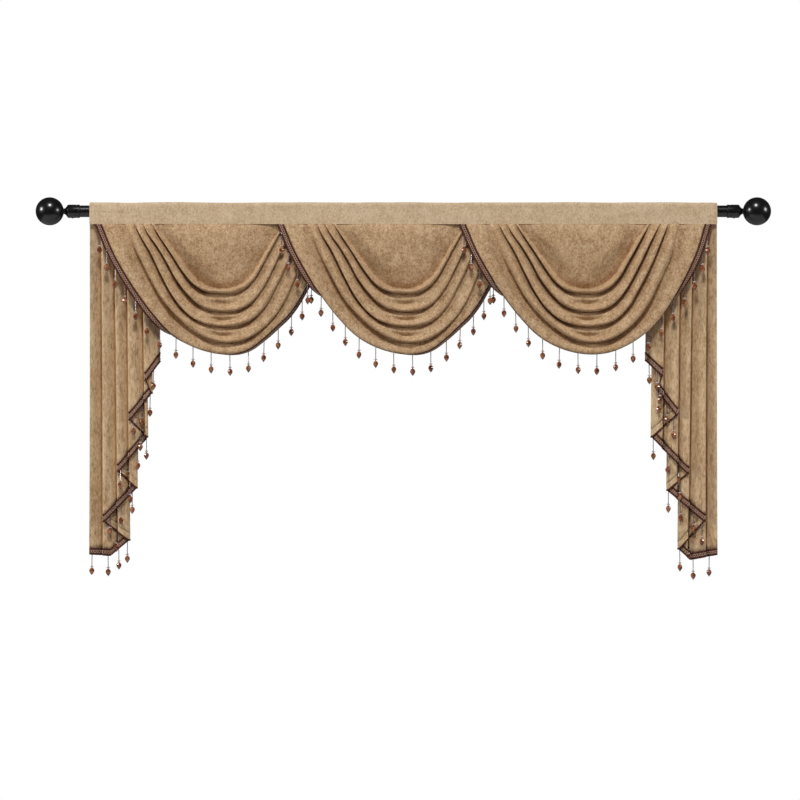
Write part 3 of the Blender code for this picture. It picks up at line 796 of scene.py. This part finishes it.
def turned(profile, sides):
    """Points and faces of a turned shape from (radius, height) pairs, poles at both ends."""
    points = [(0.0, 0.0, profile[0][1])]
    rings = profile[1:-1]
    for radius, height in rings:
        for k in range(sides):
            angle = 2 * math.pi * k / sides
            points.append((radius * math.cos(angle), radius * math.sin(angle), height))
    points.append((0.0, 0.0, profile[-1][1]))
    last = len(points) - 1
    faces = []
    for k in range(sides):
        beside = (k + 1) % sides
        faces.append((0, 1 + k, 1 + beside))
        base = 1 + (len(rings) - 1) * sides
        faces.append((last, base + beside, base + k))
    for ring in range(len(rings) - 1):
        base = 1 + ring * sides
        for k in range(sides):
            beside = (k + 1) % sides
            faces.append((base + k, base + sides + k, base + sides + beside, base + beside))
    return np.array(points), faces


def ball_profile(radius, middle, rings, tall=1.0):
    return [
        (
            radius * math.sin(math.pi * k / rings),
            middle + radius * tall * math.cos(math.pi * k / rings),
        )
        for k in range(rings + 1)
    ]


def round_bead(radius, middle, tall):
    return (*turned(ball_profile(radius, middle, SEED_RINGS, tall), SEED_SIDES), SEED)


def drop_parts():
    """One bead drop hanging from its root at the origin, as (points, faces, finish) parts."""
    parts = []
    at = STRING_TOP
    while at > STRING_FOOT:
        parts.append(round_bead(SEED_R, at, SEED_TALL))
        at -= SEED_PITCH
    # The spacer is a small flower
    points, faces = turned(SPACER_SECTION, PETAL_SIDES)
    angle = np.arctan2(points[:, 1], points[:, 0])
    petal = PETAL_MEAN + PETAL_SWING * np.cos(PETALS * angle)
    petal = np.where(np.hypot(points[:, 0], points[:, 1]) > PETAL_FROM, petal, 1)
    points[:, :2] *= petal[:, None]
    parts.append((points, faces, SPACER))
    above, below = (round_bead(*bead, END_TALL) for bead in END_BEADS)
    parts += [above, (*turned(AMBER_SECTION, AMBER_SIDES), AMBER), below]
    return parts


def add_drops(shape, roots):
    parts = drop_parts()
    for x, y, z, bead_y in roots:
        spin = chance.uniform(0, 2 * math.pi)
        sway = chance.normal(0, SWAY)
        cos, sin = math.cos(spin), math.sin(spin)
        for points, faces, finish in parts:
            turned_points = points @ np.array([[cos, sin, 0], [-sin, cos, 0], [0, 0, 1]])
            below = -turned_points[:, 2]
            lean = (bead_y - y) * np.clip(below / LEAN_BELOW, 0, 1)
            turned_points[:, 0] += x + sway * below
            turned_points[:, 1] += y + lean
            turned_points[:, 2] += z
            shape.add(turned_points, faces, finish)


# ---- Finishes ----


def linear(red, green, blue):
    """A colour as seen, 0 to 255, as the shader's own values."""
    return tuple(
        c / 255 / 12.92 if c / 255 <= 0.04045 else ((c / 255 + 0.055) / 1.055) ** 2.4
        for c in (red, green, blue)
    )


class Finish:
    """A material made of nodes."""

    def __init__(self, name, roughness, **settings):
        self.material = bpy.data.materials.new(name)
        self.material.use_nodes = True
        self.tree = self.material.node_tree
        self.shader = self.tree.nodes["Principled BSDF"]
        self.shader.inputs["Roughness"].default_value = roughness
        for key, value in settings.items():
            self.shader.inputs[key.replace("_", " ")].default_value = value
        self.place = self.node("ShaderNodeTexCoord").outputs["Object"]

    def node(self, kind, **inputs):
        made = self.tree.nodes.new(kind)
        for key, value in inputs.items():
            self.put(made.inputs[key.replace("_", " ")], value)
        return made

    def put(self, socket, value):
        if isinstance(value, bpy.types.NodeSocket):
            self.tree.links.new(value, socket)
        else:
            socket.default_value = value

    def stretched(self, scale):
        made = self.node("ShaderNodeMapping", Vector=self.place)
        made.inputs["Scale"].default_value = scale
        return made.outputs["Vector"]

    def noise(self, scale, detail=2.0, rough=0.5, vector=None, distortion=0.0):
        made = self.node(
            "ShaderNodeTexNoise",
            Vector=vector or self.place,
            Scale=scale,
            Detail=detail,
            Roughness=rough,
            Distortion=distortion,
        )
        return made.outputs["Fac"]

    def sum(self, *terms):
        """The sum of (value, weight) terms."""
        total = None
        for value, weight in terms:
            made = self.tree.nodes.new("ShaderNodeMath")
            made.operation = "MULTIPLY_ADD"
            self.put(made.inputs[0], value)
            made.inputs[1].default_value = weight
            if total is None:
                made.inputs[2].default_value = 0.0
            else:
                self.put(made.inputs[2], total)
            total = made.outputs[0]
        return total

    def ramp(self, value, *stops):
        made = self.tree.nodes.new("ShaderNodeValToRGB")
        self.put(made.inputs[0], value)
        band = made.color_ramp
        while len(band.elements) < len(stops):
            band.elements.new(0.5)
        for element, (at, colour) in zip(band.elements, stops):
            element.position = at
            element.color = (*colour, 1)
        return made.outputs["Color"]

    def bump(self, height, distance, strength=1.0):
        made = self.node("ShaderNodeBump", Height=height, Distance=distance, Strength=strength)
        self.put(self.shader.inputs["Normal"], made.outputs["Normal"])

    def colour(self, value):
        self.put(self.shader.inputs["Base Color"], value)


def chenille(name, tones, grain, streak):
    """Crushed chenille: mottling and speckle in three tones, with a soft sheen."""
    made = Finish(
        name,
        0.9,
        Sheen_Weight=0.1,
        Sheen_Roughness=0.5,
        Sheen_Tint=(1.0, 0.86, 0.66, 1),
        Specular_IOR_Level=0.15,
    )
    woven = made.stretched(grain)
    blotch = made.noise(scale=60, vector=woven)
    mottle = made.noise(scale=230, rough=0.6, vector=woven, distortion=0.5)
    speckle = made.noise(scale=560, rough=0.6, vector=woven)
    rib = made.noise(scale=150, detail=1, vector=made.stretched((1, 1, 0.05)))
    tone = made.sum((blotch, 0.2), (mottle, 0.42), (speckle, 0.38 - streak), (rib, streak))
    dark, middle, light = (linear(*seen) for seen in tones)
    made.colour(made.ramp(tone, (0.4, dark), (0.49, middle), (0.6, light)))
    made.bump(made.sum((mottle, 0.5), (speckle, 0.5)), distance=0.0014, strength=0.5)
    return made.material


def mottled(name, roughness, pattern, stops, relief, **settings):
    """A finish that runs from colour to colour over a fine pattern, given as the noise's settings.
    Its relief is (noise scale or None for the same pattern, distance, strength)."""
    made = Finish(name, roughness, **settings)
    shade = made.noise(**pattern)
    made.colour(made.ramp(shade, *[(at, linear(*seen)) for at, seen in stops]))
    scale, distance, strength = relief
    height = made.noise(scale=scale, detail=1) if scale else shade
    made.bump(height, distance, strength)
    return made.material


def make_finishes():
    return {
        "swag": chenille(
            "chenille_swag", ((154, 119, 83), (189, 155, 118), (214, 184, 147)), (1, 1, 0.8), 0.0
        ),
        # Painted light: the tails' chenille is the swags' cloth in lighter tones, which stand in
        # for light on the tails
        "tail": chenille(
            "chenille_tail", ((169, 135, 97), (205, 172, 133), (224, 196, 159)), (1, 1, 0.3), 0.08
        ),
        # Painted light: the heading's chenille is the swags' cloth in lighter, paler tones, which
        # stand in for the light on the flat heading
        "heading": chenille(
            "chenille_heading",
            ((184, 156, 122), (205, 178, 146), (221, 197, 168)),
            (1, 1, 0.8),
            0.0,
        ),
        "ground": mottled(
            "braid_ground", 0.75, {"scale": 900}, ((0.35, (56, 24, 15)), (0.65, (92, 44, 28))),
            (None, 0.0006, 0.6), Specular_IOR_Level=0.3,
        ),
        "border": mottled(
            "braid_border", 0.7, {"scale": 700}, ((0.35, (54, 20, 12)), (0.65, (94, 40, 25))),
            (None, 0.0008, 0.7), Specular_IOR_Level=0.3,
        ),
        "cord": mottled(
            "braid_cord", 0.42, {"scale": 800}, ((0.35, (150, 108, 84)), (0.65, (202, 168, 140))),
            (None, 0.0006, 0.6), Sheen_Weight=0.3,
        ),
        "seed": mottled(
            "seed_beads", 0.18, {"scale": 260, "detail": 1},
            ((0.35, (88, 76, 90)), (0.65, (150, 134, 146))), (1500, 0.0002, 0.3),
            Specular_IOR_Level=0.6, Coat_Weight=0.5, Coat_Roughness=0.08,
        ),
        "spacer": mottled(
            "spacer", 0.12, {"scale": 300, "detail": 1},
            ((0.35, (196, 160, 148)), (0.65, (236, 214, 204))), (1200, 0.0002, 0.3),
            Coat_Weight=0.6, Coat_Roughness=0.05,
        ),
        "amber": mottled(
            "amber_beads", 0.16, {"scale": 120, "rough": 0.6},
            ((0.35, (84, 40, 22)), (0.52, (136, 74, 42)), (0.68, (186, 128, 90))),
            (900, 0.0002, 0.2), Coat_Weight=0.5, Coat_Roughness=0.1, IOR=1.55,
        ),
        "black": mottled(
            "gloss_black", 0.28, {"scale": 400, "detail": 3},
            ((0.3, (9, 9, 10)), (0.7, (18, 18, 19))), (None, 0.0001, 0.25),
            Coat_Weight=0.25, Coat_Roughness=0.12,
        ),
    }


# ---- Pieces ----


def make_trim(owner, braid, cloth_finish, found):
    """The braid's piece of a swag or tail, in place of its solid."""
    finishes = [found["ground"], found["border"], found["cord"], found[cloth_finish]]
    trim = braid.make("braid_" + owner, finishes)
    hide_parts("trim_" + owner)
    return trim


def make_drops(owner, roots, found):
    """The bead drops of a swag or tail."""
    beads = Shape()
    add_drops(beads, roots)
    finishes = [found["seed"], found["spacer"], found["amber"]]
    drops = beads.make("beads_" + owner, finishes, sharp=SHARP_BEAD)
    return drops


def make_swag(side, left_x, covered, seed, found):
    grid = swag_grid(covered, seed)
    cloth = Shape()
    shell(cloth, placed(grid, left_x), SWAG_CLOTH, 0)
    swag = cloth.make("swag_" + side + "_cloth", [found["swag"]])
    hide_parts("swag_" + side)

    hem = fold_line(swag_lines(covered)[-1], HEM_STEPS)
    seat = np.interp(hem[:, 0], grid[-1][:, 0], grid[-1][:, 1])
    hem = np.stack([hem[:, 0], seat, hem[:, 1]], axis=1)
    inner, outer = swag_braid(hem, side)
    braid = Shape()
    add_braid(braid, placed(inner, left_x), placed(outer, left_x), 1)
    trim = make_trim("swag_" + side, braid, "swag", found)

    roots = []
    root_line = resample(outer + (inner - outer) * ROOT_IN / BRAID_WIDE, ROOT_STEP)
    at = (np.arange(SWAG_DROPS) + 0.5) / SWAG_DROPS * (len(root_line) - 1)
    for across, y, down in root_line[np.round(at).astype(int)]:
        share = across / SWAG_WIDE
        over = share < OVER_CLOTH or (share > 1 - OVER_CLOTH and not covered)
        bead_y = min(y, BEAD_FRONT_Y) if over else y
        roots.append((left_x + across, y, HANG_Z - down - ROOT_IN, bead_y))
    drops = make_drops("swag_" + side, roots, found)


def make_tail(side, table, places, sign, found):
    columns = tail_columns(table)
    rows = []
    for row in range(TAIL_ROWS + 1):
        share = row / TAIL_ROWS
        rows.append(
            [tail_point(c, share * (c[2] - c[4] - TAIL_GAP), sign, table) for c in columns]
        )
    cloth = Shape()
    shell(cloth, np.array(rows), TAIL_CLOTH, 0)
    tail = cloth.make("tail_" + side + "_cloth", [found["tail"]])
    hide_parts("tail_" + side)

    inner = np.array([tail_point(c, c[2] - c[4], sign, table) for c in columns])
    outer = np.array([tail_point(c, c[2], sign, table) for c in columns])
    both = resample(np.concatenate([outer, inner], axis=1), BRAID_STEP)
    braid = Shape()
    add_braid(braid, both[:, 3:], both[:, :3], -sign)
    trim = make_trim("tail_" + side, braid, "tail", found)
    drops = make_drops("tail_" + side, tail_roots(table, places, sign), found)


def arc(centre, radius, start, end, count):
    return [
        (
            centre[0] + radius * math.cos(math.radians(a)),
            centre[1] + radius * math.sin(math.radians(a)),
        )
        for a in np.linspace(start, end, count)
    ]


def make_heading(found):
    """One strip folded over the rod: front, rounded top edge, back, and the sewn foot."""
    pocket = ROD_R + FIT_GAP + CLOTH / 2
    front = FRONT_Y + CLOTH / 2
    corner = (front + TOP_R, TOP_Z - CLOTH / 2 - TOP_R)
    profile = [(front, z) for z in np.linspace(FOOT_Z - SEAM_GAP, corner[1], 22)[:-1]]
    profile += arc(corner, TOP_R, 180, 90, 7)
    profile += [(ROD_Y - TOP_BACK, TOP_Z - CLOTH / 2)]
    profile += arc((ROD_Y, 0), pocket, POCKET_FROM, POCKET_TO, 16)
    profile += [(FOOT_BACK_Y - CLOTH / 2, z) for z in np.linspace(FOOT_Z + FOOT_TALL, FOOT_Z, 4)]
    xs = np.linspace(-HEADING_HALF, HEADING_HALF, HEADING_COLUMNS)
    grid = np.array([[(x, y, z) for x in xs] for y, z in profile])
    x, z = grid[..., 0], grid[..., 2]
    # A slight unevenness, least at the sewn foot
    free = np.clip((z - FOOT_Z) / HEADING_FREE, 0, 1)
    grid[..., 1] += HEADING_OUT * waves(x, 3 * z, HEADING_SEEDS[0]) * free
    grid[..., 2] += np.where(z > 0, HEADING_UP * waves(x, 0 * z, HEADING_SEEDS[1]) * free, 0)

    def cut(row, column):
        """Whether a face lies in the notch round a bracket, at the back of the pocket."""
        middle = abs(xs[column] + xs[column + 1]) / 2
        y, z = profile[row]
        return middle > NOTCH_HALF and y > ROD_Y and FOOT_Z + FOOT_TALL < z < NOTCH_TOP

    band = Shape()
    shell(band, grid, CLOTH, 0, skip=cut)
    # The sewn foot closes the band below the pocket
    low, high = FOOT_Z + 0.4, FOOT_Z + FOOT_TALL
    near, far = FRONT_Y + CLOTH, FOOT_BACK_Y - CLOTH
    foot = np.array([[(x, near, low), (x, far, low), (x, far, high), (x, near, high)] for x in xs])
    faces = grid_faces(len(xs), 4, round_columns=True)
    faces += [(3, 2, 1, 0), tuple(4 * (len(xs) - 1) + k for k in range(4))]
    band.add(foot, [face[::-1] for face in faces], 0)
    heading = band.make("heading_band", [found["heading"]], sharp=SHARP_HEADING)
    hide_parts("heading")


def closed_turn(shape, profile, place, sides):
    """A turned shape from (radius, height), placed by a function of its points."""
    points, faces = turned(profile, sides)
    shape.add(place(points), [face[::-1] for face in faces])


def make_rod(found):
    rod = Shape()
    inside = ROD_R - ROD_WALL
    turn = np.arange(ROUND_STEPS) * 2 * math.pi / ROUND_STEPS
    rings = []
    for x, radius in (
        (-ROD_HALF, inside),
        (-ROD_HALF, ROD_R - ROD_EDGE),
        (-ROD_HALF + ROD_EDGE, ROD_R),
        (ROD_HALF - ROD_EDGE, ROD_R),
        (ROD_HALF, ROD_R - ROD_EDGE),
        (ROD_HALF, inside),
    ):
        rings.append(
            np.stack(
                [np.full(ROUND_STEPS, x), ROD_Y + radius * np.cos(turn), radius * np.sin(turn)],
                axis=1,
            )
        )
    faces = grid_faces(len(rings), ROUND_STEPS, round_columns=True, round_rows=True)
    rod.add(np.array(rings), faces)
    tube_piece = rod.make("rod_tube", [found["black"]], sharp=SHARP_ROD)
    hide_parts("rod")


def finial_profile():
    """Half the finial's section as (radius, distance from the ball's middle)."""
    collar_start = ROD_HALF + FIT_GAP - BALL_X
    collar_end = collar_start + COLLAR_LONG
    neck_angle = math.degrees(math.asin(NECK_R / BALL_R))
    ball = arc((0, 0), BALL_R, 90, neck_angle - 90, BALL_STEPS)
    plug_r = ROD_R - ROD_WALL - FIT_GAP
    groove = collar_start + GROOVE_AT
    return [
        (0, BALL_R),
        *ball[1:],
        (NECK_R, collar_end + CHAMFER_LONG),
        (NECK_R + 1.2, collar_end + CHAMFER_LONG * 0.72),
        (COLLAR_R - 2.4, collar_end + CHAMFER_LONG * 0.2),
        (COLLAR_R - 0.5, collar_end),
        (COLLAR_R, collar_end - 0.8),
        (COLLAR_R, groove + GROOVE_HALF),
        (COLLAR_R - GROOVE_IN, groove + GROOVE_LIP),
        (COLLAR_R - GROOVE_IN, groove - GROOVE_LIP),
        (COLLAR_R, groove - GROOVE_HALF),
        (COLLAR_R, collar_start + 0.4),
        (COLLAR_R - 0.4, collar_start),
        (plug_r, collar_start),
        (plug_r, collar_start - PLUG_LONG + 1),
        (plug_r - 1, collar_start - PLUG_LONG),
        (0, collar_start - PLUG_LONG),
    ]


def make_finial(side, sign, found):
    shape = Shape()

    def along_rod(points):
        x = sign * (BALL_X + points[:, 2])
        return np.stack([x, ROD_Y + points[:, 0], sign * points[:, 1]], axis=1)

    closed_turn(shape, finial_profile(), along_rod, ROUND_STEPS)

    def under_collar(points):
        z = -COLLAR_R - SET_SCREW_OUT + points[:, 2]
        middle = ROD_HALF + SET_SCREW_IN
        return np.stack([sign * middle + points[:, 0], ROD_Y + points[:, 1], z], axis=1)

    closed_turn(shape, SET_SCREW, under_collar, SCREW_SIDES)
    finial = shape.make("finial_" + side + "_turned", [found["black"]], sharp=SHARP_TURNED)
    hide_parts("finial_" + side)


def make_bracket(side, sign, found):
    shape = Shape()
    middle = sign * BRACKET_X

    def on_wall(across):
        def place(points):
            x = middle + across + points[:, 0]
            return np.stack([x, -points[:, 2], PLATE_Z + points[:, 1]], axis=1)

        return place

    plate = [
        (0, 0),
        (PLATE_R, 0),
        (PLATE_R, PLATE_THICK - 1.5),
        (PLATE_R - 0.5, PLATE_THICK - 0.5),
        (PLATE_R - 1.5, PLATE_THICK),
        (ARM_R + 4, PLATE_THICK),
        (ARM_R + 1.2, PLATE_THICK + 1.6),
        (ARM_R - 1.0, PLATE_THICK + 3),
        (0, PLATE_THICK + 3),
    ]
    closed_turn(shape, plate[::-1], on_wall(0), ROUND_STEPS)
    dome = [(radius, PLATE_THICK + height) for radius, height in SCREW_HEAD]
    for place in (-1, 1):
        closed_turn(shape, dome, on_wall(place * SCREW_OUT), SCREW_SIDES)

    bend = (ARM_END_Y + ARM_BEND_R, PLATE_Z + ARM_BEND_R)
    path = [(-PLATE_THICK / 2, PLATE_Z)]
    path += arc(bend, ARM_BEND_R, -90, -180, 14)
    path += [(ARM_END_Y, ARM_IN - ROD_R - FIT_GAP - CRADLE_THICK)]
    path = np.array([(middle, y, z) for y, z in path])
    tube(shape, path, ARM_R, np.tile((1.0, 0, 0), (len(path), 1)), ARM_SIDES, 0)

    radius = ROD_R + FIT_GAP + CRADLE_THICK / 2
    turn = np.radians(np.linspace(CRADLE_FROM, CRADLE_TO, CRADLE_STEPS))
    xs = middle + np.linspace(-CRADLE_WIDE / 2, CRADLE_WIDE / 2, 5)
    cradle = np.array(
        [[(x, ROD_Y + radius * math.cos(a), radius * math.sin(a)) for x in xs] for a in turn]
    )
    shell(shape, cradle, CRADLE_THICK, 0)
    bracket = shape.make("bracket_" + side + "_arm", [found["black"]], sharp=SHARP_TURNED)
    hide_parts("bracket_" + side)


# ---- Surroundings ----


def make_camera():
    data = bpy.data.cameras.new("camera")
    data.sensor_width = SENSOR
    data.lens = CAMERA_FAR * SENSOR / FRAME_WIDE
    data.clip_end = CLIP_END
    camera = bpy.data.objects.new("camera", data)
    camera.location = (CENTRE_X, FRONT_Y * MM - CAMERA_FAR, CENTRE_Z)
    camera.rotation_euler = (math.pi / 2, 0, 0)
    bpy.context.scene.collection.objects.link(camera)
    bpy.context.scene.camera = camera


def make_light(name, place, aim, size, power):
    data = bpy.data.lights.new(name, "AREA")
    data.shape = "DISK"
    data.size = size
    data.energy = power
    light = bpy.data.objects.new(name, data)
    light.location = place
    way = np.array(aim, float) - np.array(place, float)
    from_z = math.acos(-way[2] / np.linalg.norm(way))
    light.rotation_euler = (from_z, 0, math.atan2(way[1], way[0]) - math.pi / 2)
    bpy.context.scene.collection.objects.link(light)


def make_surroundings():
    world = bpy.data.worlds.new("studio")
    bpy.context.scene.world = world
    world.use_nodes = True
    tree = world.node_tree
    ground = tree.nodes["Background"]
    ground.inputs["Color"].default_value = (1, 1, 1, 1)
    ground.inputs["Strength"].default_value = AMBIENT
    seen = tree.nodes.new("ShaderNodeBackground")
    seen.inputs["Strength"].default_value = 1.0
    path = tree.nodes.new("ShaderNodeLightPath")
    mix = tree.nodes.new("ShaderNodeMixShader")
    out = tree.nodes["World Output"]
    tree.links.new(path.outputs["Is Camera Ray"], mix.inputs[0])
    tree.links.new(ground.outputs[0], mix.inputs[1])
    tree.links.new(seen.outputs[0], mix.inputs[2])
    seen.inputs["Color"].default_value = (1, 1, 1, 1)
    tree.links.new(mix.outputs[0], out.inputs["Surface"])

    for name, place, size, power in LIGHTS:
        make_light(name, place, LIT_POINT, size, power)
    bpy.context.scene.view_settings.view_transform = "Standard"

    mesh = bpy.data.meshes.new("floor")
    sides = ((-1, -1), (1, -1), (1, 1), (-1, 1))
    corners = [(x * FLOOR_HALF, y * FLOOR_HALF, FLOOR_Z) for x, y in sides]
    mesh.from_pydata(corners, [], [(0, 1, 2, 3)])
    floor = bpy.data.objects.new("floor", mesh)
    bpy.context.scene.collection.objects.link(floor)
    finish = Finish("floor", 0.8)
    grain = finish.noise(scale=3, detail=3)
    finish.colour(finish.ramp(grain, (0.3, (0.78, 0.78, 0.77)), (0.7, (0.83, 0.83, 0.82))))
    mesh.materials.append(finish.material)


make_camera()
finishes = make_finishes()
make_heading(finishes)
for number, name in enumerate(("left", "middle", "right")):
    make_swag(name, SWAG_X + number * SWAG_PITCH, number < 2, 11 + 10 * number, finishes)
make_tail("left", TAIL_LEFT, LEFT_DROPS, -1, finishes)
make_tail("right", TAIL_RIGHT, RIGHT_DROPS, 1, finishes)
make_rod(finishes)
for name, sign in (("left", -1), ("right", 1)):
    make_finial(name, sign, finishes)
    make_bracket(name, sign, finishes)
make_surroundings()
